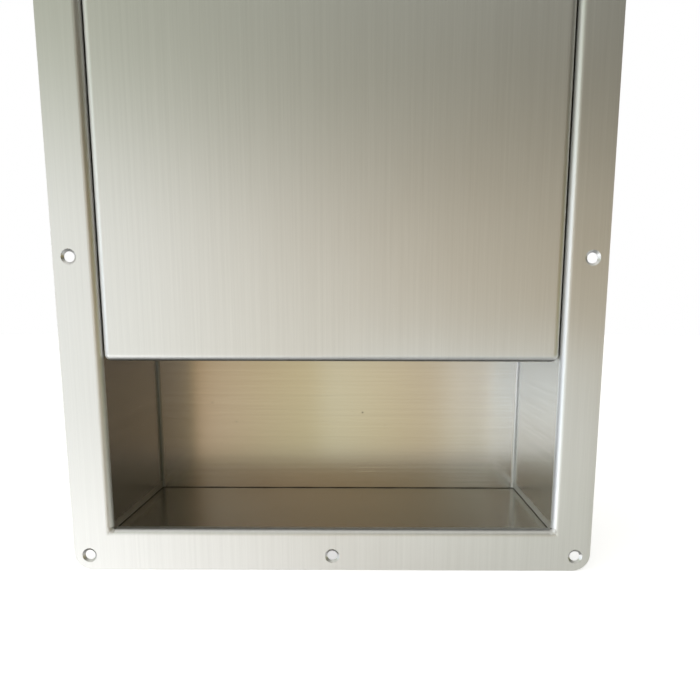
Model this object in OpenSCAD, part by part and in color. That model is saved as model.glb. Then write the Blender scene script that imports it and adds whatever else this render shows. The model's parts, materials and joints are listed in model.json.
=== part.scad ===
// Recessed standpipe cabinet of folded sheet steel: a wall flange round a tub,
// an inset lift-up door over the upper part, an open bay below it, and an angle
// hose valve behind the door. Millimetres, +Z up, front towards -Y.
// Origin: centre of the screw-hole pattern, on the wall side of the flange.

/* [Cabinet] */
// Overall width of the wall flange
flange_w = 450; // [430:5:500]
// Overall height of the wall flange
flange_h = 535; // [525:5:600]
// Width of the flange's sides, from the outer edge to the clear opening
flange_b = 34.1; // [33:0.1:40]
// Width of the flange's top and bottom, from the outer edge to the clear opening
flange_e = 36.3; // [35:0.1:42]
// Corner radius of the flange
corner_r = 15; // [8:1:20]
// Depth from the flange's face to the back wall
depth = 130; // [126:1:160]
// Sheet thickness
sheet_t = 2; // [1.5:0.1:2]
// Outside radius of the folded edge round the opening
edge_r = 5.3; // [4.5:0.1:6]
// Inside radius of the two upright folds at the back
back_r = 2.5; // [2:0.5:4]
// Radius of the relief at the corners of the folded edge
relief_r = 2.4; // [2:0.1:3]

/* [Screw holes] */
// Distance of the screw holes from the flange's edges
hole_inset = 13; // [12:0.5:14]
// Diameter of the screw holes
hole_d = 8.6; // [7:0.1:9]
// Diameter of the countersink at the face
csk_d = 12.6; // [11.5:0.1:13]

/* [Door] */
// Clear height of the open bay below the door
bay_h = 148.6; // [140:0.1:160]
// Gap between the door and the side walls
door_gap = 1.5; // [1.4:0.1:2]
// Gap above the door
door_top_gap = 3.2; // [3:0.1:4]
// Depth of the door's folded edges
door_return = 20; // [18:1:22]
// Outside radius of the door's folded edges
door_edge_r = 5.5; // [3.5:0.5:5.5]

/* [Door pivots] */
// Distance of the pivot axis from the door's face and from its top edge
pivot_in = 10; // [9.5:0.5:10.5]
// Diameter of the pivot bolt's shoulder
pivot_d = 6; // [5:0.5:6]

/* [Valve] */
// Outlet axis, left of the cabinet's centre line
valve_left = 15; // [0:1:25]
// Valve axis, behind the wall plane
valve_y = 72; // [68:1:76]
// Valve axis, above the cabinet's middle
valve_z = 80; // [70:1:95]
// Outside diameter of the inlet pipe
pipe_d = 48.3; // [47:0.1:48.5]
// Crest diameter of the hose thread
outlet_d = 50; // [48:0.5:50.5]
// Pitch of the hose thread
outlet_p = 2.8; // [2.5:0.1:3]
// Outside diameter of the handwheel
wheel_d = 92; // [80:1:98]
// Number of handwheel spokes
spokes = 5; // [3:1:6]

/* [Hidden] */
$fn = 96;
t = sheet_t;
hw = flange_w / 2;
hh = flange_h / 2;
hb = hw - flange_b;            // half width of the clear opening
hl = hh - flange_e;            // half height of the clear opening
hi = hl + t;                   // half height of the tub inside
lap = 3;                       // part of the folded edge that lies on the end plates
yf = -t;                       // face of the flange and door
yb = yf + depth;               // inner face of the back wall
ye = yf + edge_r;              // end of the folded edge, start of the walls
csk_h = 0.8 * t;               // depth of the countersink
door_w = 2 * (hb - door_gap);
door_z0 = -hi + bay_h;
door_z1 = hl - door_top_gap;
door_h = door_z1 - door_z0;
door_x = door_w / 2;           // outer face of the door's side edges
pivot_y = yf + pivot_in;
pivot_z = door_z1 - pivot_in;
stop_z = door_z0 + 40;         // middle of the door stops
stop_y = yf + door_return + 3.9;
vx = -valve_left;
pr = pipe_d / 2;
seat_l = 15.9;                 // plain end of the pipe beyond its groove
strap_x = -140;
bolt_dz = pr + 13;
thread_n = floor(23 / outlet_p);
brass = [0.78, 0.62, 0.32];
steel = [0.80, 0.80, 0.77];

// Flat shape in X and Z, given thickness along Y
module xz_plate(y0, y1) { translate([0, y1, 0]) rotate([90, 0, 0]) linear_extrude(height = y1 - y0) children(); }
module xcyl(r, x0, x1, y, z, r2 = -1, n = $fn) { translate([x0, y, z]) rotate([0, 90, 0]) cylinder(r1 = r, r2 = r2 < 0 ? r : r2, h = x1 - x0, $fn = n); }
module ycyl(r, y0, y1, x, z, n = $fn) { translate([x, y0, z]) rotate([-90, 0, 0]) cylinder(r = r, h = y1 - y0, $fn = n); }
// Turned blank along Z with chamfers of radial size a at its lower end and b at its upper end, sloping by k
module blank(r, h, a, b, k = 1) {
    rotate_extrude() polygon(concat([[0, 0]], a > 0 ? [[r - a, 0], [r, a * k]] : [[r, 0]],
        b > 0 ? [[r, h - b * k], [r - b, h]] : [[r, h]], [[0, h]]));
}
// Hexagon across flats af, along Z, its corners turned off at the ends that are asked for
module zhex(af, h, first = true, last = true) {
    r = af / sqrt(3) + 0.01;
    c = r - 0.478 * af;
    intersection() { cylinder(r = af / sqrt(3), h = h, $fn = 6); blank(r, h, first ? c : 0, last ? c : 0, 0.577); }
}
// The same along X and along Y, flats towards the front and back, and up and down
module xhex(af, x0, x1, y, z, first = true, last = true) { translate([x0, y, z]) rotate([0, 90, 0]) zhex(af, x1 - x0, first, last); }
module yhex(af, y0, y1, x, z, first = true, last = true) { translate([x, y0, z]) rotate([-90, 0, 0]) zhex(af, y1 - y0, first, last); }
// Pieces on the valve axis, u counted along X from the outlet axis
module vcyl(r, u0, u1, r2 = -1) { xcyl(r, vx + u0, vx + u1, valve_y, valve_z, r2); }
module vhex(af, u0, u1, first = true, last = true) { xhex(af, vx + u0, vx + u1, valve_y, valve_z, first, last); }
module vblank(r, u0, u1, a, b) { translate([vx + u0, valve_y, valve_z]) rotate([0, 90, 0]) blank(r, u1 - u0, a, b); }
module vtube(r1, r0, u0, u1) { difference() { vcyl(r1, u0, u1); vcyl(r0, u0 - 1, u1 + 1); } }
// Pieces on the outlet axis, w counted downwards from the valve axis
module wcyl(r, w0, w1, n = $fn) { translate([vx, valve_y, valve_z - w1]) cylinder(r = r, h = w1 - w0, $fn = n); }
module wblank(r, w0, w1, a, b) { translate([vx, valve_y, valve_z - w1]) blank(r, w1 - w0, b, a); }
module both_sides() { children(); mirror([1, 0, 0]) children(); }

module rrect(w, h, r) {
    square([w - 2 * r, h], center = true);
    square([w, h - 2 * r], center = true);
    for (sx = [-1, 1], sz = [-1, 1]) translate([sx * (w / 2 - r), sz * (h / 2 - r)]) circle(r);
}
module ring_quarter(r, th) {
    intersection() {
        difference() { circle(r); circle(r - th); }
        translate([0, -r]) square([r, r]);
    }
}
// Folded edge along Z, mitred at both ends; its inner face lies at x = 0
module fold(hl) {
    intersection() {
        translate([-edge_r, ye, -(hl + edge_r)]) linear_extrude(height = 2 * (hl + edge_r)) ring_quarter(edge_r, t);
        xz_plate(yf - 1, ye + 1) polygon([[-edge_r, -(hl + edge_r)], [0, -hl], [0, hl], [-edge_r, hl + edge_r]]);
    }
}
module screw_hole(x, z) {
    s = (csk_d - hole_d) / 2 / csk_h;
    ycyl(hole_d / 2, yf - 1, 1, x, z);
    translate([x, yf - 0.5, z]) rotate([-90, 0, 0]) cylinder(d1 = csk_d + s, d2 = hole_d, h = csk_h + 0.5);
}

module face_frame() {
    color(steel) difference() {
        union() {
            xz_plate(yf, 0) difference() {
                rrect(flange_w, flange_h, corner_r);
                square([2 * (hb + edge_r), 2 * (hl + edge_r)], center = true);
            }
            both_sides() translate([-hb, 0, 0]) fold(hl);
            for (m = [0, 1]) mirror([0, 0, m]) {
                translate([0, 0, -hl]) rotate([0, -90, 0]) fold(hb);
                translate([-hb, ye, -hl - t]) cube([2 * hb, lap, t]);
            }
        }
        for (ix = [-1:1], iz = [-1:1]) if (ix != 0 || iz != 0)
            screw_hole(ix * (hw - hole_inset), iz * (hh - hole_inset));
        for (sx = [-1, 1], sz = [-1, 1]) ycyl(relief_r, yf - 1, ye + lap + 1, sx * (hb + 1.2), sz * (hl + 0.8));
    }
}

module tub_profile() {
    for (s = [0, 1]) mirror([s, 0]) {
        translate([-hb - t, ye]) square([t, yb - back_r - ye]);
        translate([-hb + back_r, yb - back_r]) rotate(180) ring_quarter(back_r + t, t);
    }
    translate([-hb + back_r, yb]) square([2 * (hb - back_r), t]);
}
module tub_wrap() {
    color(steel) difference() {
        translate([0, 0, -hi - t]) linear_extrude(height = 2 * (hi + t)) tub_profile();
        xcyl(pr + 4.85, -hb - t - 1, -hb + 1, valve_y, valve_z);
        both_sides() xcyl(2.6, hb - 1, hb + t + 1, pivot_y, pivot_z);
    }
}
module end_plate() {
    translate([-hb, ye]) square([2 * hb, yb - back_r - 0.5 - ye]);
    translate([-hb + back_r + 0.5, ye]) square([2 * (hb - back_r - 0.5), yb - ye]);
    for (s = [-1, 1]) translate([s * (hb - back_r - 0.5), yb - back_r - 0.5]) circle(back_r + 0.5);
}
module floor_plate() { color(steel) translate([0, 0, -hi - t]) linear_extrude(height = t) end_plate(); }
module top_plate() { color(steel) translate([0, 0, hi]) linear_extrude(height = t) end_plate(); }

// Solid of a pan with its front edges and corners rounded
module pan_solid(w, h, d, r) {
    xz_plate(r, d) rrect(w, h, r);
    xz_plate(0, r) square([w - 2 * r, h - 2 * r], center = true);
    for (s = [-1, 1]) {
        translate([0, r, s * (h / 2 - r)]) rotate([0, 90, 0]) cylinder(r = r, h = w - 2 * r, center = true);
        translate([s * (w / 2 - r), r, 0]) cylinder(r = r, h = h - 2 * r, center = true);
        for (q = [-1, 1]) translate([s * (w / 2 - r), r, q * (h / 2 - r)]) sphere(r = r);
    }
}
module door_panel() {
    color(steel) difference() {
        translate([0, yf, (door_z0 + door_z1) / 2]) difference() {
            pan_solid(door_w, door_h, door_return, door_edge_r);
            translate([0, t, 0]) pan_solid(door_w - 2 * t, door_h - 2 * t, door_return, door_edge_r - t);
        }
        both_sides() xcyl(pivot_d / 2 + 1, door_x - t - 1, door_x + 1, pivot_y, pivot_z);
    }
}

module pivot_bolts() {
    color("gainsboro") both_sides() {
        difference() {
            union() {
                xcyl(4, door_x - t - 4.3, door_x - t - 3.3, pivot_y, pivot_z, 5);
                xcyl(5, door_x - t - 3.3, door_x - t - 1.3, pivot_y, pivot_z);
                xcyl(pivot_d / 2, door_x - t - 1.3, hb - 0.1, pivot_y, pivot_z);
                xcyl(2.5, hb - 0.1, hb + t + 5, pivot_y, pivot_z);
            }
            xcyl(3 / sqrt(3), door_x - t - 5, door_x - t - 2.3, pivot_y, pivot_z, -1, 6);
        }
    }
}
module pivot_bushes() {
    color("ivory") both_sides() difference() {
        union() {
            xcyl(pivot_d / 2 + 1, door_x - t - 0.4, door_x, pivot_y, pivot_z);
            xcyl(6, door_x, hb - 0.4, pivot_y, pivot_z);
        }
        xcyl(pivot_d / 2 + 0.05, door_x - t - 1, hb + 1, pivot_y, pivot_z);
    }
}
module pivot_washers() {
    color("darkgray") both_sides() difference() {
        xcyl(5.2, door_x - t - 1.2, door_x - t - 0.6, pivot_y, pivot_z);
        xcyl(pivot_d / 2 + 0.2, door_x - t - 2, door_x - t, pivot_y, pivot_z);
    }
}
module pivot_nuts() {
    color("silver") both_sides() difference() {
        xhex(8, hb + t, hb + t + 4, pivot_y, pivot_z);
        xcyl(2.55, hb + t - 1, hb + t + 5, pivot_y, pivot_z);
    }
}
module door_stops() {
    color(steel) both_sides() {
        translate([hb - 18, stop_y, stop_z - 15]) cube([18, t, 30]);
        translate([hb - t, stop_y, stop_z - 15]) cube([t, 24, 30]);
    }
}
module door_bumpers() {
    color([0.08, 0.08, 0.08]) both_sides() difference() {
        translate([hb - 14, yf + door_return + 0.2, stop_z - 11]) cube([13, 3.7, 22]);
        for (s = [-1, 1]) translate([hb - 15, yf + door_return - 0.2, stop_z + s * 5.5 - 0.75]) cube([15, 1.2, 1.5]);
    }
}

module pipe_grommet() {
    color([0.10, 0.10, 0.10]) translate([-hb, valve_y, valve_z]) rotate([0, -90, 0]) rotate_extrude()
        polygon([[pr + 0.05, -3], [pr + 7, -3], [pr + 8.5, -1.5], [pr + 8.5, 0], [pr + 4.8, 0], [pr + 4.8, t],
            [pr + 8.5, t], [pr + 8.5, t + 1.5], [pr + 7, t + 3], [pr + 0.05, t + 3]]);
}
module inlet_pipe() {
    color([0.62, 0.12, 0.09]) difference() {
        xcyl(pr, -hw + 4, vx - 47, valve_y, valve_z);
        xcyl(pr - 3.6, -hw, vx - 40, valve_y, valve_z);
        // Groove for a two-piece pipe coupling
        difference() {
            xcyl(pr + 1, -hw + 4 + seat_l, -hw + 4 + seat_l + 8, valve_y, valve_z);
            xcyl(pr - 1.6, -hw, vx, valve_y, valve_z);
        }
    }
}
module clamp_half() {
    difference() {
        union() {
            xcyl(pr + 4, strap_x - 12, strap_x + 12, valve_y, valve_z);
            translate([strap_x - 12, valve_y, valve_z - bolt_dz - 9]) cube([24, 4.75, 2 * bolt_dz + 18]);
        }
        xcyl(pr + 0.05, strap_x - 13, strap_x + 13, valve_y, valve_z);
        translate([strap_x - 13, valve_y - 60, valve_z - 60]) cube([26, 60.75, 120]);
        for (s = [-1, 1]) ycyl(3.3, valve_y - 1, valve_y + 9, strap_x, valve_z + s * bolt_dz);
    }
}
module pipe_saddle() {
    color("dimgray") {
        clamp_half();
        difference() {
            translate([strap_x - 12, valve_y + 20, valve_z - 9]) cube([24, yb - 4 - valve_y - 20, 18]);
            xcyl(pr + 2, strap_x - 13, strap_x + 13, valve_y, valve_z);
        }
        translate([strap_x - 12, yb - 4, valve_z - 34]) cube([24, 4, 68]);
    }
}
module pipe_strap() {
    color("dimgray") translate([0, 2 * valve_y, 0]) mirror([0, 1, 0]) clamp_half();
}
module strap_bolts() {
    color("silver") for (s = [-1, 1]) {
        yhex(10, valve_y - 8.75, valve_y - 4.75, strap_x, valve_z + s * bolt_dz, true, false);
        ycyl(3, valve_y - 4.75, valve_y + 13, strap_x, valve_z + s * bolt_dz);
    }
}
module strap_nuts() {
    color("silver") for (s = [-1, 1]) difference() {
        yhex(10, valve_y + 4.75, valve_y + 9.75, strap_x, valve_z + s * bolt_dz);
        ycyl(3.05, valve_y + 4, valve_y + 11, strap_x, valve_z + s * bolt_dz);
    }
}

// Hose thread: ridges on the outlet
module outlet_thread() {
    rm = outlet_d / 2;
    translate([vx, valve_y, valve_z - 53 - thread_n * outlet_p]) rotate_extrude() polygon(concat([[18, 0]],
        [for (i = [0:thread_n - 1]) each [[rm - 1.6, i * outlet_p], [rm, (i + 0.35) * outlet_p], [rm, (i + 0.65) * outlet_p]]],
        [[rm - 1.6, thread_n * outlet_p], [18, thread_n * outlet_p]]));
}
module valve_body() {
    color(brass) difference() {
        union() {
            vhex(58, -70, -46);
            vcyl(29, -46, -38);
            vcyl(31, -38, 24);
            translate([vx, valve_y, valve_z]) sphere(r = 36);
            vblank(35, 22, 36, 1.5, 1.2);
            wcyl(25.5, 20, 48);
            wblank(29, 46, 52, 1.2, 1.2);
            wcyl(outlet_d / 2 - 1.6, 51, 54);
            outlet_thread();
            wcyl(outlet_d / 2 - 1.6, 53 + thread_n * outlet_p - 0.5, 76);
        }
        vcyl(pr + 0.05, -71, -47);
        vcyl(18.5, -48, -20);
        vcyl(22.5, -26, -17);
        vcyl(28, -18, 37);
        wcyl(18.5, 0, 77);
    }
}
module seat_ring() {
    color("darkkhaki") difference() {
        union() { vcyl(22.45, -26, -18); vcyl(20.5, -18, -16, 19.5); }
        vcyl(17.5, -27, -15);
    }
}
module bonnet_gasket() { color("darkslategray") vtube(33, 28.1, 36, 37.2); }
module bonnet() {
    color(brass) difference() {
        union() {
            vcyl(27.9, 22, 37.2);
            vhex(60, 37.2, 50, false, true);
            vcyl(24, 50, 58, 15);
            vcyl(15, 58, 76);
        }
        vcyl(7.08, 21, 61);
        vcyl(11, 60, 77);
        vcyl(20, 21, 30);
    }
}
module stem_packing() { color("whitesmoke") vtube(10.95, 7.1, 60, 70); }
module gland_nut() {
    color(brass) difference() {
        union() {
            vhex(36, 66, 80);
            vcyl(17, 80, 83, 14);
        }
        difference() { vcyl(15.05, 65, 76.2); vcyl(10.9, 70.2, 77); }
        vcyl(7.2, 65, 84);
    }
}

module disc_holder() {
    color(brass) difference() {
        union() { vcyl(22, -10, -3); vcyl(17, -3, 4); }
        vcyl(10.4, -6.4, 5);
        vcyl(13.05, -1.5, 5);
    }
}
module disc_seal() { color([0.10, 0.10, 0.10]) vcyl(21, -15.9, -10); }
module disc_nut() {
    color(brass) difference() {
        union() { vcyl(13, -1.5, 4); vhex(22, 4, 8); }
        vcyl(7.4, -3, 9);
    }
}
module stem() {
    color("tan") {
        vcyl(10, -6, -2);
        vcyl(7, -2, 96);
        translate([vx + 96, valve_y - 5, valve_z - 5]) cube([16, 10, 10]);
        vblank(4, 112, 122, 0, 0.8);
    }
}
module handwheel() {
    rr = wheel_d / 2 - 6;
    color([0.75, 0.06, 0.05]) difference() {
        union() {
            vblank(13, 94, 112, 1.5, 2);
            translate([vx + 102, valve_y, valve_z]) rotate([0, 90, 0]) rotate_extrude() translate([rr, 0]) circle(6);
            for (i = [0:spokes - 1]) translate([vx + 102, valve_y, valve_z]) rotate([i * 360 / spokes, 0, 0])
                translate([0, 0, 10]) cylinder(r = 4, h = rr - 10);
        }
        vcyl(7.1, 93, 96.5);
        translate([vx + 96, valve_y - 5.05, valve_z - 5.05]) cube([17, 10.1, 10.1]);
    }
}
module handwheel_washer() { color("silver") vtube(9, 4.1, 112, 113.5); }
module handwheel_nut() {
    color("silver") difference() { vhex(13, 113.5, 120); vcyl(4.05, 113, 121); }
}

module outlet_cap() {
    color(brass) difference() {
        union() {
            wblank(31, 53, 85, 1.2, 3);
            translate([vx, valve_y, valve_z - 98]) zhex(28, 14, true, false);
            intersection() {
                for (s = [-1, 1]) translate([vx + s * 33 - 5, valve_y - 6, valve_z - 76]) cube([10, 12, 17]);
                wblank(37.8, 59, 76, 2.5, 2.5);
            }
        }
        wcyl(outlet_d / 2 + 0.5, 52, 79);
    }
}
module cap_gasket() { color([0.12, 0.12, 0.12]) difference() { wcyl(outlet_d / 2, 76.3, 79); wcyl(13, 75, 80); } }

face_frame();
tub_wrap();
floor_plate();
top_plate();
door_panel();
pivot_bolts();
pivot_bushes();
pivot_washers();
pivot_nuts();
door_stops();
door_bumpers();
pipe_grommet();
inlet_pipe();
pipe_saddle();
pipe_strap();
strap_bolts();
strap_nuts();
valve_body();
seat_ring();
bonnet_gasket();
bonnet();
stem_packing();
gland_nut();
disc_holder();
disc_seal();
disc_nut();
stem();
handwheel();
handwheel_washer();
handwheel_nut();
outlet_cap();
cap_gasket();
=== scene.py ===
import json
import math
import bpy
import bmesh
from mathutils import Matrix, Vector


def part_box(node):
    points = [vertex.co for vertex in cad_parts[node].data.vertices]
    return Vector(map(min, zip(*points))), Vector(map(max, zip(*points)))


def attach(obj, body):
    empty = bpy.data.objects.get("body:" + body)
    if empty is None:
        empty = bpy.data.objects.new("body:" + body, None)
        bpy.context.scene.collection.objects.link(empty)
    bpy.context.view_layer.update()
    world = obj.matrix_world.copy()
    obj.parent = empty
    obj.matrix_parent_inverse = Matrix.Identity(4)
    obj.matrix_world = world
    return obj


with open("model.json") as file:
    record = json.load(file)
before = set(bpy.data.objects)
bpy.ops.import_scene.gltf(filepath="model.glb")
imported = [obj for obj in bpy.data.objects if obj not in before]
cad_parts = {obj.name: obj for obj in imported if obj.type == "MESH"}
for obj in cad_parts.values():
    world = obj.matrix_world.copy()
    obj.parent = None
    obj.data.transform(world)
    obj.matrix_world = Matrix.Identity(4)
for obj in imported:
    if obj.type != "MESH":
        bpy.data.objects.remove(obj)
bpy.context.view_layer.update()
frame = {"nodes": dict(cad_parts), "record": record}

nodes = frame["nodes"]
scene = bpy.context.scene


# ---------------------------------------------------------------- camera
PX = 700.0
F_PX, CX, CY = 574.7, 361.0, 399.0
PITCH, YAW, ROLL = math.radians(8.560731), math.radians(0.10336), math.radians(0.14207)
cam_data = bpy.data.cameras.new("camera")
cam = bpy.data.objects.new("camera", cam_data)
scene.collection.objects.link(cam)
cam_data.sensor_fit = "HORIZONTAL"
cam_data.sensor_width = 36.0
cam_data.lens = F_PX / PX * 36.0
cam_data.shift_x = (PX / 2 - CX) / PX
cam_data.shift_y = (CY - PX / 2) / PX
cam_data.clip_start = 0.01
cam_data.clip_end = 60.0
cam.matrix_world = (
    Matrix.Translation((0.025714, -0.477909, -0.044115))
    @ Matrix.Rotation(YAW, 4, "Z")
    @ Matrix.Rotation(math.pi / 2 - PITCH, 4, "X")
    @ Matrix.Rotation(ROLL, 4, "Z")
)
scene.camera = cam

# Places that the small pieces are set out from
f_lo, f_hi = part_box("floor_plate")
t_lo, t_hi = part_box("top_plate")
u_lo, u_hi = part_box("tub_wrap")
r_lo, r_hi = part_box("face_frame")
d_lo, d_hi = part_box("door_panel")
p_lo, p_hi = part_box("inlet_pipe")
SHEET = 0.002
HB = f_hi[0]                    # inner face of the side walls
FLOOR_Z, TOP_Z = f_hi[2], t_lo[2]
YB = u_hi[1] - SHEET            # inner face of the back wall
YE = f_lo[1]                    # front edge of the end plates
LIP_Y = r_hi[1]                 # end of the folded edge
LIP_Z = -FLOOR_Z - SHEET        # half height of the clear opening
FOLD_R = 0.0025                 # inside radius of the two upright folds


# ---------------------------------------------------------------- node helpers
class Net:
    """A material's node tree, with short names for what is used here."""

    def __init__(self, name):
        self.mat = bpy.data.materials.new(name)
        self.mat.use_nodes = True
        self.t = self.mat.node_tree
        self.t.nodes.clear()
        self.out = self.t.nodes.new("ShaderNodeOutputMaterial")
        self.bsdf = self.t.nodes.new("ShaderNodeBsdfPrincipled")
        self.t.links.new(self.bsdf.outputs[0], self.out.inputs["Surface"])
        self.co = self.t.nodes.new("ShaderNodeTexCoord").outputs["Object"]

    def put(self, node, key, v):
        s = node.inputs[key]
        if isinstance(v, bpy.types.NodeSocket):
            self.t.links.new(v, s)
        else:
            s.default_value = v

    def set(self, **kw):
        for k, v in kw.items():
            self.put(self.bsdf, k.replace("_", " "), v)

    def scaled(self, v, origin=(0, 0, 0)):
        m = self.t.nodes.new("ShaderNodeMapping")
        m.inputs["Scale"].default_value = v
        m.inputs["Location"].default_value = origin
        self.t.links.new(self.co, m.inputs["Vector"])
        return m.outputs[0]

    def xyz(self):
        n = self.t.nodes.new("ShaderNodeSeparateXYZ")
        self.t.links.new(self.co, n.inputs[0])
        return n.outputs

    def normal(self):
        n = self.t.nodes.new("ShaderNodeSeparateXYZ")
        g = self.t.nodes.new("ShaderNodeNewGeometry")
        self.t.links.new(g.outputs["Normal"], n.inputs[0])
        return n.outputs

    def edge(self):
        g = self.t.nodes.new("ShaderNodeNewGeometry")
        return g.outputs["Pointiness"]

    def noise(self, vec, scale=1.0, detail=2.0, rough=0.5, distortion=0.0):
        n = self.t.nodes.new("ShaderNodeTexNoise")
        self.t.links.new(vec, n.inputs["Vector"])
        n.inputs["Scale"].default_value = scale
        n.inputs["Detail"].default_value = detail
        n.inputs["Roughness"].default_value = rough
        n.inputs["Distortion"].default_value = distortion
        return n.outputs["Fac"]

    def plane(self, u, v):
        n = self.t.nodes.new("ShaderNodeCombineXYZ")
        self.t.links.new(u, n.inputs[0])
        self.t.links.new(v, n.inputs[1])
        return n.outputs[0]

    def voronoi(self, vec, scale, feature="F1", flat=False):
        n = self.t.nodes.new("ShaderNodeTexVoronoi")
        n.feature = feature
        if flat:
            n.voronoi_dimensions = "2D"
        self.t.links.new(vec, n.inputs["Vector"])
        n.inputs["Scale"].default_value = scale
        return n.outputs["Distance"]

    def math(self, op, a, b=None, c=None, clamp=False):
        n = self.t.nodes.new("ShaderNodeMath")
        n.operation = op
        n.use_clamp = clamp
        for i, v in enumerate((a, b, c)):
            if v is not None:
                self.put(n, i, v)
        return n.outputs[0]

    def fit(self, v, a, b, lo, hi, smooth=False):
        n = self.t.nodes.new("ShaderNodeMapRange")
        if smooth:
            n.interpolation_type = "SMOOTHSTEP"
        self.put(n, "Value", v)
        for k, x in (("From Min", a), ("From Max", b), ("To Min", lo), ("To Max", hi)):
            n.inputs[k].default_value = x
        return n.outputs["Result"]

    def ramp(self, v, stops):
        n = self.t.nodes.new("ShaderNodeValToRGB")
        e = n.color_ramp.elements
        while len(e) < len(stops):
            e.new(0.5)
        for x, (p, c) in zip(e, stops):
            x.position, x.color = p, (*c, 1.0)
        self.put(n, "Fac", v)
        return n.outputs["Color"]

    def mix(self, f, a, b, blend="MIX"):
        n = self.t.nodes.new("ShaderNodeMix")
        n.data_type = "RGBA"
        n.blend_type = blend
        self.put(n, "Factor", f)
        for k, v in (("A", a), ("B", b)):
            s = [i for i in n.inputs if i.name == k and i.type == "RGBA"][0]
            if isinstance(v, bpy.types.NodeSocket):
                self.t.links.new(v, s)
            else:
                s.default_value = (*v, 1.0)
        return [o for o in n.outputs if o.type == "RGBA"][0]

    def bump(self, h, strength, dist=0.0002, after=None):
        n = self.t.nodes.new("ShaderNodeBump")
        self.put(n, "Height", h)
        n.inputs["Strength"].default_value = strength
        n.inputs["Distance"].default_value = dist
        if after is not None:
            self.t.links.new(after, n.inputs["Normal"])
        self.t.links.new(n.outputs[0], self.bsdf.inputs["Normal"])
        return n.outputs[0]

    def tangent(self, v):
        n = self.t.nodes.new("ShaderNodeCombineXYZ")
        for i in range(3):
            n.inputs[i].default_value = v[i]
        self.t.links.new(n.outputs[0], self.bsdf.inputs["Tangent"])


def tint(c, k):
    return tuple(min(1.0, k * x) for x in c)


# Small pits in the back wall of the bay: x, z, radius and how dark
PITS = ((0.0263, -0.1499, 0.00085, 1.00), (-0.1089, -0.1601, 0.00070, 0.70), (-0.1339, -0.1395, 0.00070, 0.70), (0.0499, -0.1640, 0.00055, 0.50), (0.0156, -0.1489, 0.00050, 0.45))


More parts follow.
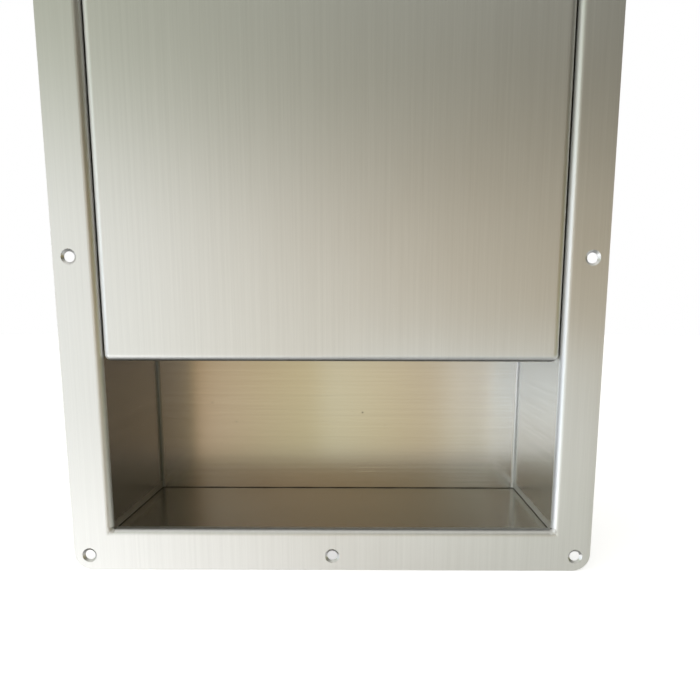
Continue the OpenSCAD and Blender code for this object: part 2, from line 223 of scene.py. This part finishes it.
def brushed(name, grain_f, tone, rough, aniso, spread, depth=0.03, tub=False, band=None, bump=0.10):
    """Sheet with a brushed grain. grain_f is the grain's frequency per metre on each axis, depth how much it shows.
    band: middle height, start, end and half width of the level bends, where the bending has dulled the grain."""
    m = Net(name)
    fine = m.noise(m.scaled(grain_f), 1.0, 2.0, 0.55)
    broad = m.noise(m.scaled(tuple(0.11 * a for a in grain_f), (3.1, 7.7, 1.9)), 1.0, 2.0, 0.5)
    cloud = m.noise(m.co, 5.5, 3.0, 0.5)
    grain = m.math("ADD", m.math("MULTIPLY", fine, 0.5), m.math("MULTIPLY", broad, 0.5))
    col = m.ramp(m.math("ADD", m.math("MULTIPLY", grain, 0.85), m.math("MULTIPLY", cloud, 0.15)),
                 [(0.28, tint(tone, 1 - depth)), (0.72, tint(tone, 1 + depth))])
    ro = m.math("ADD", m.fit(grain, 0.25, 0.75, rough - 0.02, rough + 0.02), m.fit(cloud, 0.3, 0.7, -0.012, 0.012))
    h = grain
    if band:
        x, y, z = m.xyz()
        zc, za, zb, xb = band
        d = m.math("ABSOLUTE", m.math("SUBTRACT", z, zc))
        lip = m.math("MULTIPLY", m.fit(d, za - 0.0006, za + 0.0006, 0.0, 1.0, True), m.fit(d, zb - 0.0006, zb + 0.0006, 1.0, 0.0, True))
        lip = m.math("MULTIPLY", lip, m.fit(m.math("ABSOLUTE", x), xb, xb + 0.0010, 1.0, 0.0, True))
        ro = m.math("ADD", ro, m.math("MULTIPLY", lip, 0.10))
        aniso = m.math("SUBTRACT", aniso, m.math("MULTIPLY", lip, 0.60))
    if tub:
        # The two upright folds at the back are duller, with painted shade on the left fold and painted light on the
        # right one; along the floor's weld the side walls carry a rougher strip made lighter by painted light; and the
        # back wall has a few small pits
        x, y, z = m.xyz()
        fold_painted_shade_light = m.math("MULTIPLY", m.fit(m.math("ABSOLUTE", x), HB - 0.0031, HB - 0.0022, 0.0, 1.0, True),
                      m.fit(y, YB - 0.0031, YB - 0.0022, 0.0, 1.0, True))
        nx, ny, nz = m.normal()
        spot = m.math("MULTIPLY", m.fit(m.voronoi(m.plane(x, z), 17.0, flat=True), 0.008, 0.018, 1.0, 0.0, True),
                      m.math("GREATER_THAN", m.math("ABSOLUTE", ny), 0.9))
        spot = m.math("MULTIPLY", spot, m.math("LESS_THAN", y, YB + 0.0008))
        few = m.math("GREATER_THAN", m.noise(m.scaled((1.0, 0.0, 1.0), (0.31, 0.0, 0.17)), 9.0, 0.0), 0.54)
        spot = m.math("MULTIPLY", m.math("MULTIPLY", spot, few), m.math("GREATER_THAN", z, d_lo[2] + 0.02))
        for px, pz, r, level in PITS:
            dx, dz = m.math("SUBTRACT", x, px), m.math("SUBTRACT", z, pz)
            d2 = m.math("ADD", m.math("MULTIPLY", dx, dx), m.math("MULTIPLY", dz, dz))
            pit = m.fit(d2, 0.36 * r * r, 1.69 * r * r, level, 0.0, True)
            spot = m.math("MAXIMUM", spot, m.math("MULTIPLY", pit, m.math("LESS_THAN", m.math("ABSOLUTE", m.math("SUBTRACT", y, YB)), 0.0008)))
        side = m.math("GREATER_THAN", x, 0.0)
        # Painted shade on the left back fold (darker tone) and painted light on the right back fold (lighter tone)
        col = m.mix(fold_painted_shade_light, col, m.mix(side, tint(tone, 0.58), tint(tone, 1.34)))
        col = m.mix(spot, col, tint(tone, 0.30))
        ro = m.math("ADD", ro, m.math("MULTIPLY", fold_painted_shade_light, m.math("ADD", m.math("MULTIPLY", side, 0.12), 0.28)))
        # A rougher strip along the foot of the side walls, its lighter colour painted light
        low = m.math("ADD", z, m.fit(m.noise(m.co, 160.0, 2.0), 0.3, 0.7, -0.0007, 0.0007))
        weld_strip_painted_light = m.math("MULTIPLY", m.fit(low, FLOOR_Z + 0.0040, FLOOR_Z + 0.0088, 1.0, 0.0, True), m.math("GREATER_THAN", m.math("ABSOLUTE", nx), 0.9))
        weld_strip_painted_light = m.math("MULTIPLY", weld_strip_painted_light, m.math("LESS_THAN", m.math("ABSOLUTE", x), HB + 0.0008))
        col = m.mix(weld_strip_painted_light, col, tint(tone, 1.08))
        ro = m.math("ADD", ro, m.math("MULTIPLY", weld_strip_painted_light, 0.26))
        h = m.math("SUBTRACT", grain, spot)
    m.set(Base_Color=col, Metallic=1.0, Roughness=ro, Anisotropic=aniso)
    m.tangent(spread)
    m.bump(h, bump, 0.00004)
    return m.mat


UP = (3400.0, 3400.0, 22.0)      # grain runs upright
LEVEL = (18.0, 18.0, 3000.0)     # grain runs level on the walls
FLOOR = (18.0, 3000.0, 3000.0)   # grain runs from side to side on the end plates
mats = {
    "stainless_face": brushed("stainless_face", UP, (0.70, 0.70, 0.69), 0.42, 0.85, (1, 0, 0), 0.065,
                              band=(0.0, LIP_Z - 0.0010, LIP_Z + 0.0050, HB)),
    "stainless_door": brushed("stainless_door", UP, (0.70, 0.70, 0.69), 0.42, 0.85, (1, 0, 0), 0.065,
                              band=(0.5 * (d_lo[2] + d_hi[2]), 0.5 * (d_hi[2] - d_lo[2]) - 0.0045, 0.5 * (d_hi[2] - d_lo[2]) - 0.0014, 1.0)),
    "stainless_tub": brushed("stainless_tub", LEVEL, (0.66, 0.655, 0.64), 0.25, 0.5, (0, 0, 1), 0.085, tub=True, bump=0.05),
    # The end plates take a darker, warmer tone of the same steel: painted shade
    "stainless_floor_painted_shade": brushed("stainless_floor_painted_shade", FLOOR, (0.54, 0.515, 0.46), 0.23, 0.4, (0, 1, 0), 0.12, bump=0.05),
}


def metal(name, c0, c1, rough, scale, pits=0.0, pit_scale=900.0, hollow_dark=0.0):
    """Bare metal: mottled tone, uneven polish, cast pits where asked for, and darker colour in the hollows."""
    m = Net(name)
    n = m.noise(m.co, scale, 4.0, 0.55)
    f = m.noise(m.co, scale * 11.0, 3.0, 0.6)
    col = m.ramp(m.math("ADD", m.math("MULTIPLY", n, 0.7), m.math("MULTIPLY", f, 0.3)), [(0.3, c0), (0.7, c1)])
    if hollow_dark:
        # Darker colour in the concave hollows, found by pointiness
        hollow = m.fit(m.edge(), 0.44, 0.495, hollow_dark, 0.0, True)
        col = m.mix(hollow, col, tint(c0, 0.28))
    m.set(Base_Color=col, Metallic=1.0, Roughness=m.math("ADD", m.fit(n, 0.25, 0.75, rough - 0.05, rough + 0.07), m.fit(f, 0.3, 0.7, -0.03, 0.03)))
    h = f
    if pits:
        h = m.math("ADD", m.math("MULTIPLY", f, 0.4), m.fit(m.voronoi(m.co, pit_scale), 0.0, 0.5, 0.0, 0.6))
    m.bump(h, 0.12 + pits, 0.00018)
    return m.mat


def paint(name, c0, c1, rough, scale, coat=0.25, bare=None):
    """Enamel over metal: slight orange peel, a duller film in places and a thin rub on the edges.
    bare: x below which the steel is left unpainted, and the axis (y, z) and radius of a bore that is unpainted too."""
    m = Net(name)
    n = m.noise(m.co, scale, 4.0, 0.55)
    peel = m.noise(m.co, 420.0, 2.0, 0.5)
    rub = m.math("MULTIPLY", m.fit(m.edge(), 0.56, 0.66, 0.0, 1.0, True), m.fit(m.noise(m.co, 260.0, 3.0, 0.6), 0.48, 0.60, 0.0, 0.7))
    col = m.mix(rub, m.ramp(n, [(0.3, c0), (0.7, c1)]), tint(c0, 0.45))
    if bare is not None:
        bx, by, bz, br = bare
        x, y, z = m.xyz()
        dy, dz = m.math("SUBTRACT", y, by), m.math("SUBTRACT", z, bz)
        r = m.math("SQRT", m.math("ADD", m.math("MULTIPLY", dy, dy), m.math("MULTIPLY", dz, dz)))
        steel = m.math("MAXIMUM", m.fit(x, bx - 0.0004, bx + 0.0004, 1.0, 0.0, True), m.fit(r, br - 0.0003, br + 0.0003, 1.0, 0.0, True))
        col = m.mix(steel, col, m.ramp(n, [(0.3, (0.36, 0.37, 0.38)), (0.7, (0.52, 0.53, 0.53))]))
        coat = m.math("MULTIPLY", m.math("SUBTRACT", 1.0, steel), coat)
        m.set(Metallic=steel)
    m.set(Base_Color=col, Roughness=m.fit(n, 0.25, 0.75, rough - 0.05, rough + 0.10), Coat_Weight=coat, Coat_Roughness=0.12)
    m.bump(peel, 0.10, 0.00025)
    return m.mat


def soft(name, c0, c1, rough, scale, bump=0.2, dist=0.0002):
    """Rubber, nylon, fibre or packing."""
    m = Net(name)
    n = m.noise(m.co, scale, 4.0, 0.55)
    dust = m.fit(m.noise(m.co, scale * 0.2, 3.0, 0.6), 0.45, 0.7, 0.0, 0.25)
    col = m.mix(dust, m.ramp(n, [(0.3, c0), (0.7, c1)]), tuple(0.5 * a + 0.12 for a in c1))
    m.set(Base_Color=col, Roughness=m.fit(n, 0.25, 0.75, rough - 0.06, rough + 0.08))
    m.bump(m.noise(m.co, scale * 7.0, 3.0, 0.6), bump, dist)
    return m.mat


mats["zinc_steel"] = metal("zinc_steel", (0.48, 0.49, 0.50), (0.63, 0.64, 0.65), 0.30, 260.0, hollow_dark=0.5)
mats["clamp_steel"] = metal("clamp_steel", (0.36, 0.37, 0.38), (0.52, 0.53, 0.53), 0.46, 80.0, pits=0.10, hollow_dark=0.5)
mats["cast_brass"] = metal("cast_brass", (0.47, 0.30, 0.095), (0.62, 0.42, 0.155), 0.40, 55.0, pits=0.30, hollow_dark=0.7)
mats["turned_brass"] = metal("turned_brass", (0.63, 0.44, 0.17), (0.75, 0.55, 0.24), 0.23, 150.0, hollow_dark=0.4)
mats["red_pipe"] = paint("red_pipe", (0.31, 0.016, 0.012), (0.40, 0.024, 0.018), 0.34, 30.0,
                         bare=(u_lo[0] - 0.0010, 0.5 * (p_lo[1] + p_hi[1]), 0.5 * (p_lo[2] + p_hi[2]), 0.5 * (p_hi[2] - p_lo[2]) - 0.0014))
mats["red_wheel"] = paint("red_wheel", (0.40, 0.013, 0.009), (0.50, 0.021, 0.015), 0.28, 45.0, 0.4)
mats["nylon"] = soft("nylon", (0.74, 0.71, 0.60), (0.82, 0.79, 0.69), 0.48, 200.0, 0.08)
mats["rubber"] = soft("rubber", (0.016, 0.016, 0.016), (0.034, 0.033, 0.032), 0.72, 150.0, 0.3)
mats["fibre"] = soft("fibre", (0.06, 0.08, 0.06), (0.10, 0.12, 0.10), 0.85, 300.0, 0.3)
mats["ptfe"] = soft("ptfe", (0.75, 0.75, 0.72), (0.84, 0.84, 0.82), 0.55, 200.0, 0.1)

slots = {s["node"]: s["material_slot"] for s in frame["record"]["subparts"]}
for name, obj in nodes.items():
    key = "stainless_floor_painted_shade" if name in ("floor_plate", "top_plate") else slots[name]
    obj.data.materials.clear()
    obj.data.materials.append(mats[key])


# ---------------------------------------------------------------- small pieces
def piece(name, verts, faces, mat, body, smooth=True):
    me = bpy.data.meshes.new(name)
    me.from_pydata(verts, [], faces)
    b = bmesh.new()
    b.from_mesh(me)
    bmesh.ops.remove_doubles(b, verts=b.verts, dist=1e-7)
    bmesh.ops.recalc_face_normals(b, faces=b.faces)
    b.to_mesh(me)
    b.free()
    for p in me.polygons:
        p.use_smooth = smooth
    o = bpy.data.objects.new(name, me)
    scene.collection.objects.link(o)
    me.materials.append(mat)
    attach(o, body)
    return o


def wob(i, k):
    """A repeatable wobble between -1 and 1."""
    return math.sin(i * 12.9898 + k * 78.233) * 0.6 + math.sin(i * 3.17 + k * 5.71) * 0.4


def seam_mat():
    m = Net("seam_oxide_and_painted_shade")
    n = m.noise(m.co, 900.0, 3.0, 0.6)
    # The dark colour is partly weld oxide and partly painted shade of the crevice
    m.set(Base_Color=m.ramp(n, [(0.3, (0.030, 0.025, 0.018)), (0.75, (0.11, 0.095, 0.072))]), Metallic=0.4, Roughness=m.fit(n, 0.3, 0.7, 0.5, 0.7))
    m.bump(n, 0.4, 0.0002)
    return m.mat


def weld_mat():
    m = Net("dressed_weld")
    n = m.noise(m.co, 500.0, 4.0, 0.6)
    m.set(Base_Color=m.ramp(n, [(0.25, (0.60, 0.595, 0.58)), (0.7, (0.74, 0.735, 0.72))]), Metallic=1.0, Roughness=m.fit(n, 0.25, 0.75, 0.58, 0.68))
    m.bump(n, 0.10, 0.00015)
    return m.mat


def bead_mat():
    m = Net("raw_weld")
    n = m.noise(m.co, 600.0, 4.0, 0.6)
    heat = m.noise(m.co, 120.0, 2.0, 0.5)
    col = m.mix(m.fit(heat, 0.45, 0.65, 0.0, 0.6), m.ramp(n, [(0.25, (0.40, 0.39, 0.37)), (0.7, (0.60, 0.59, 0.57))]), (0.42, 0.31, 0.20))
    m.set(Base_Color=col, Metallic=1.0, Roughness=m.fit(n, 0.25, 0.75, 0.30, 0.46))
    m.bump(n, 0.3, 0.0002)
    return m.mat


mats["seam"] = seam_mat()
mats["weld"] = weld_mat()
mats["bead"] = bead_mat()


def corner_welds():
    """Dressed weld in the relief at each corner of the folded edge: a plug that follows the two folds and stands a little proud of them."""
    front, bend, soft_k, crown = r_lo[1], 0.0053, 1.0 / 0.0009, 0.00055
    back = front + bend

    def depth(u, v):
        t = math.log(math.exp(soft_k * u) + math.exp(soft_k * v)) / soft_k
        if t <= 0.0:
            return back - 1.5 * t
        return front if t >= bend else back - math.sqrt(bend * bend - (bend - t) ** 2)

    V, F = [], []
    nu, nr = 36, 10
    for k, (sx, sz) in enumerate(((-1, -1), (1, -1), (-1, 1), (1, 1))):
        def at(u, y, v):
            return Vector((sx * (HB + u), y, sz * (LIP_Z + v)))

        base = len(V)
        V.append(at(0.0012, max(front, depth(0.0012, 0.0008) - crown), 0.0008))
        for j in range(1, nr + 1):
            q = j / nr
            for i in range(nu):
                ph = 2 * math.pi * i / nu
                cs = math.cos(ph) + math.sin(ph)
                r = 0.00275 if cs >= -0.9 else min(0.00275, 0.0026 / -cs)
                u, v = 0.0012 + q * r * math.cos(ph), 0.0008 + q * r * math.sin(ph)
                V.append(at(u, max(front, depth(u, v) - crown * (1 - q * q) ** 0.6 + 0.00004 + 0.00004 * wob(i, k + j)), v))
        rim = base + 1 + (nr - 1) * nu
        for i in range(nu):
            V.append(V[rim + i] + Vector((0, 0.0010, 0)))
        V.append(V[base] + Vector((0, 0.0022, 0)))
        last = len(V) - 1
        for i in range(nu):
            n = (i + 1) % nu
            F.append((base, base + 1 + i, base + 1 + n))
            for j in range(nr):
                c, d = base + 1 + j * nu + i, base + 1 + j * nu + n
                F.append((c, d, d + nu, c + nu))
            F.append((last, rim + nu + n, rim + nu + i))
    return piece("corner_welds", V, F, mats["weld"], "cabinet")


def seam_path():
    """Inner edge of the end plates, from the front on the left, round the back, to the front on the right: (x, y, inward x, inward y)."""
    pts = []
    cx, cy = HB - FOLD_R, YB - FOLD_R
    n = 40
    for i in range(n + 1):
        pts.append((-HB, LIP_Y + (cy - LIP_Y) * i / n, 1.0, 0.0))
    for i in range(1, 6):
        a = math.pi - math.pi / 2 * i / 6
        pts.append((-cx + FOLD_R * math.cos(a), cy + FOLD_R * math.sin(a), -math.cos(a), -math.sin(a)))
    n = 120
    for i in range(n + 1):
        pts.append((-cx + 2 * cx * i / n, YB, 0.0, -1.0))
    for i in range(1, 6):
        a = math.pi / 2 - math.pi / 2 * i / 6
        pts.append((cx + FOLD_R * math.cos(a), cy + FOLD_R * math.sin(a), -math.cos(a), -math.sin(a)))
    n = 40
    for i in range(n + 1):
        pts.append((HB, cy - (cy - LIP_Y) * i / n, -1.0, 0.0))
    return pts


def end_seam(name, z, up):
    """Thin dark strip where an end plate meets the walls, a little uneven along its length: partly weld oxide, partly
    painted shade standing in for the crevice's shadow.
    """
    V, F = [], []
    path = seam_path()
    m = 6
    for i, (x, y, nx, ny) in enumerate(path):
        g = 0.00082 * (1.0 + 0.22 * wob(i, 3))
        h = 0.00070 * (1.0 + 0.25 * wob(i, 11))
        for a, b2 in ((-0.0003, h), (0.00002, h), (0.28 * g, 0.28 * h), (g, 0.00002), (g, -0.0003), (-0.0003, -0.0003)):
            V.append((x + nx * a, y + ny * a, z + up * b2))
    for i in range(len(path) - 1):
        for j in range(m):
            a, b2 = i * m + j, i * m + (j + 1) % m
            F.append((a, b2, b2 + m, a + m))
    F.append(tuple(range(m)))
    F.append(tuple((len(path) - 1) * m + j for j in range(m)))
    return piece(name, V, F, mats["seam"], "cabinet", smooth=False)


def beads(name, runs, width, height):
    """Rippled weld runs on the outside. Each run is (start, end, outward direction)."""
    V, F = [], []
    m = 9
    for k, (p, q, up) in enumerate(runs):
        p, q, up = Vector(p), Vector(q), Vector(up).normalized()
        along = (q - p).normalized()
        side = along.cross(up)
        L = (q - p).length
        n = max(12, int(L / 0.0006))
        base = len(V)
        for i in range(n + 1):
            s = L * i / n
            e = min(1.0, math.sqrt(max(0.0, min(s, L - s)) / (0.8 * width) + 1e-4))
            ripple = 1.0 + 0.09 * math.sin(2 * math.pi * s / 0.0021 + 0.6 * wob(k, 2)) + 0.05 * wob(i // 4, k)
            for j in range(m):
                a = math.pi * (j / (m - 1) * 1.24 - 0.12)
                V.append(p + along * s + side * (0.5 * width * e * ripple * math.cos(a)) + up * (height * e * ripple * math.sin(a)))
        for i in range(n):
            for j in range(m):
                a, b2 = base + i * m + j, base + i * m + (j + 1) % m
                F.append((a, b2, b2 + m, a + m))
        F.append(tuple(base + j for j in range(m)))
        F.append(tuple(base + n * m + j for j in range(m)))
    return piece(name, V, F, mats["bead"], "cabinet")


def frame_weld_runs():
    """Short runs where the tub meets the back of the folded edge."""
    runs = []
    xo = HB + SHEET
    for sx in (-1, 1):
        for i in range(6):
            z = -0.200 + 0.080 * i
            runs.append(((sx * xo, YE, z - 0.014), (sx * xo, YE, z + 0.014), (sx, 0, 0)))
    for sz in (-1, 1):
        for i in range(5):
            x = -0.152 + 0.076 * i
            z = sz * (TOP_Z + 0.0003)
            runs.append(((x - 0.014, YE - 0.0003, z), (x + 0.014, YE - 0.0003, z), (0, -1, sz)))
    return runs


def plate_weld_runs():
    """Short runs round the end plates, on the outside."""
    runs = []
    zo = TOP_Z + SHEET
    for sz in (-1, 1):
        for sx in (-1, 1):
            for y in (0.028, 0.066, 0.104):
                runs.append(((sx * HB, y - 0.011, sz * zo), (sx * HB, y + 0.011, sz * zo), (0, 0, sz)))
        for i in range(5):
            x = -0.150 + 0.075 * i
            runs.append(((x - 0.013, YB, sz * zo), (x + 0.013, YB, sz * zo), (0, 0, sz)))
    return runs


def pipe_thread():
    """Cut thread on the free end of the branch pipe, left bare."""
    lo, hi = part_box("inlet_pipe")
    cy, cz, r0 = 0.5 * (lo[1] + hi[1]), 0.5 * (lo[2] + hi[2]), 0.5 * (hi[2] - lo[2])
    x0, pitch, turns, seg = lo[0] + 0.0008, 0.0022, 7.5, 56
    n = int(turns * seg)
    V, F = [], []
    for i in range(n + 1):
        a = 2 * math.pi * i / seg
        e = min(1.0, i / (0.6 * seg), (n - i) / (0.9 * seg))
        for dx, dr in ((0.0, 0.00005), (0.42, 0.00072 * e + 0.00005), (0.58, 0.00072 * e + 0.00005), (1.0, 0.00005), (0.5, -0.0006)):
            V.append((x0 + pitch * (i / seg + dx), cy + (r0 + dr) * math.cos(a), cz + (r0 + dr) * math.sin(a)))
    for i in range(n):
        for j in range(5):
            a, b2 = i * 5 + j, i * 5 + (j + 1) % 5
            F.append((a, b2, b2 + 5, a + 5))
    F.append(tuple(range(5)))
    F.append(tuple(n * 5 + j for j in range(5)))
    return piece("pipe_thread", V, F, mats["clamp_steel"], "cabinet", smooth=False)


corner_welds()
pipe_thread()
end_seam("floor_seam", FLOOR_Z, 1.0)
end_seam("top_seam", TOP_Z, -1.0)
beads("frame_welds", frame_weld_runs(), 0.0036, 0.0011)
beads("plate_welds", plate_weld_runs(), 0.0032, 0.0010)


# ---------------------------------------------------------------- stage and light
def disc(name, r, z):
    me = bpy.data.meshes.new(name)
    b = bmesh.new()
    bmesh.ops.create_circle(b, cap_ends=True, radius=r, segments=96, matrix=Matrix.Translation((0, 0, z)))
    b.to_mesh(me)
    b.free()
    o = bpy.data.objects.new(name, me)
    scene.collection.objects.link(o)
    return o


floor = disc("studio_floor", 6.0, -0.2678)
fm = Net("studio_floor")
fm.set(Base_Color=fm.ramp(fm.noise(fm.co, 3.0, 2.0), [(0.3, (0.86, 0.86, 0.85)), (0.7, (0.90, 0.90, 0.89))]), Roughness=0.9,
       Emission_Color=(1, 1, 1, 1), Emission_Strength=0.62)
floor.data.materials.append(fm.mat)
floor.visible_glossy = False
floor.visible_shadow = False

# Soft light as broad lobes round the object: azimuth, elevation, width, colour
LIGHTS = [
    (-75, 6, 14, (0.75, 0.76, 0.67)),
    (-75, 34, 14, (1.00, 1.00, 1.00)),
    (-22, -48, 14, (0.51, 0.51, 0.50)),
    (80, -48, 14, (1.00, 1.00, 1.00)),
    (0, 62, 14, (0.62, 0.60, 0.53)),
    (-50, 62, 14, (1.00, 1.00, 1.00)),
    (50, 62, 14, (0.66, 0.65, 0.59)),
    (-30, -6, 45, (0.12, 0.27, 0.00)),
    (-18, -20, 45, (0.15, 0.00, 0.00)),
    (-18, -6, 45, (0.24, 0.00, 0.00)),
    (-6, -20, 45, (0.09, 0.17, 0.08)),
    (-6, -6, 45, (0.33, 0.44, 0.27)),
    (-6, 8, 45, (0.41, 0.18, 0.00)),
    (6, -20, 45, (0.38, 0.22, 0.00)),
    (6, -6, 45, (0.56, 0.46, 0.45)),
    (6, 8, 45, (0.30, 0.24, 0.09)),
    (45, 0, 45, (0.43, 0.20, 0.00)),
    (65, -24, 45, (1.70, 1.73, 1.64)),
    (65, 0, 45, (0.35, 0.43, 0.09)),
    (-40, -34, 45, (3.99, 4.00, 4.00)),
    (-40, -20, 45, (3.31, 3.49, 3.56)),
    (-40, -6, 45, (1.57, 1.74, 1.95)),
    (-40, 8, 45, (3.10, 3.34, 3.58)),
    (-40, 22, 45, (0.30, 0.44, 0.03)),
    (-58, -8, 30, (0.00, 0.00, 0.28)),
    (-20, 37, 45, (0.60, 0.60, 0.57)),
    (8, 37, 45, (0.36, 0.35, 0.31)),
    (180, 15, 3.2, (0.95, 0.95, 0.94)),
]
# Soft cards in front: place, width, height, the way it faces, spread, colour
CARDS = [
    (0.05, -0.32, -0.16, 0.22, 0.12, 16, 10, 30, (0.016, 0.025, 0.034)),
    (0.05, -0.32, -0.28, 0.22, 0.12, 16, 14, 30, (0.020, 0.025, 0.029)),
    (0.27, -0.32, -0.36, 0.18, 0.18, 0, 0, 180, (0.217, 0.305, 0.316)),
    (0.27, -0.32, -0.18, 0.18, 0.18, 0, 0, 180, (0.286, 0.348, 0.374)),
]
world = bpy.data.worlds.new("studio")
scene.world = world
world.use_nodes = True
w = world.node_tree
w.nodes.clear()
tc = w.nodes.new("ShaderNodeTexCoord")
total = None
for az, el, k, c in LIGHTS:
    a, e = math.radians(az), math.radians(el)
    dot = w.nodes.new("ShaderNodeVectorMath")
    dot.operation = "DOT_PRODUCT"
    dot.inputs[1].default_value = (math.sin(a) * math.cos(e), -math.cos(a) * math.cos(e), math.sin(e))
    w.links.new(tc.outputs["Generated"], dot.inputs[0])
    arg = w.nodes.new("ShaderNodeMath")
    arg.operation = "MULTIPLY_ADD"
    arg.inputs[1].default_value, arg.inputs[2].default_value = k, -k
    w.links.new(dot.outputs["Value"], arg.inputs[0])
    ex = w.nodes.new("ShaderNodeMath")
    ex.operation = "EXPONENT"
    w.links.new(arg.outputs[0], ex.inputs[0])
    bg = w.nodes.new("ShaderNodeBackground")
    bg.inputs["Color"].default_value = (*c, 1.0)
    w.links.new(ex.outputs[0], bg.inputs["Strength"])
    if total is None:
        total = bg.outputs[0]
    else:
        add = w.nodes.new("ShaderNodeAddShader")
        w.links.new(total, add.inputs[0])
        w.links.new(bg.outputs[0], add.inputs[1])
        total = add.outputs[0]
white = w.nodes.new("ShaderNodeBackground")
white.inputs["Color"].default_value = (1, 1, 1, 1)
lp = w.nodes.new("ShaderNodeLightPath")
ms = w.nodes.new("ShaderNodeMixShader")
w.links.new(lp.outputs["Is Camera Ray"], ms.inputs[0])
w.links.new(total, ms.inputs[1])
w.links.new(white.outputs[0], ms.inputs[2])
wo = w.nodes.new("ShaderNodeOutputWorld")
w.links.new(ms.outputs[0], wo.inputs["Surface"])

for i, (x, y, z, wide, high, az, el, spread, c) in enumerate(CARDS):
    card = bpy.data.lights.new("card_%d" % i, "AREA")
    card.shape = "RECTANGLE"
    card.size, card.size_y = wide, high
    card.spread = math.radians(spread)
    card.energy = max(c) * wide * high * math.pi
    card.color = tuple(v / max(c) for v in c)
    card_o = bpy.data.objects.new("card_%d" % i, card)
    card_o.matrix_world = (Matrix.Translation((x, y, z)) @ Matrix.Rotation(math.radians(-az), 4, "Z")
                           @ Matrix.Rotation(math.pi / 2 + math.radians(el), 4, "X"))
    card_o.visible_camera = False
    scene.collection.objects.link(card_o)

scene.view_settings.view_transform = "Standard"
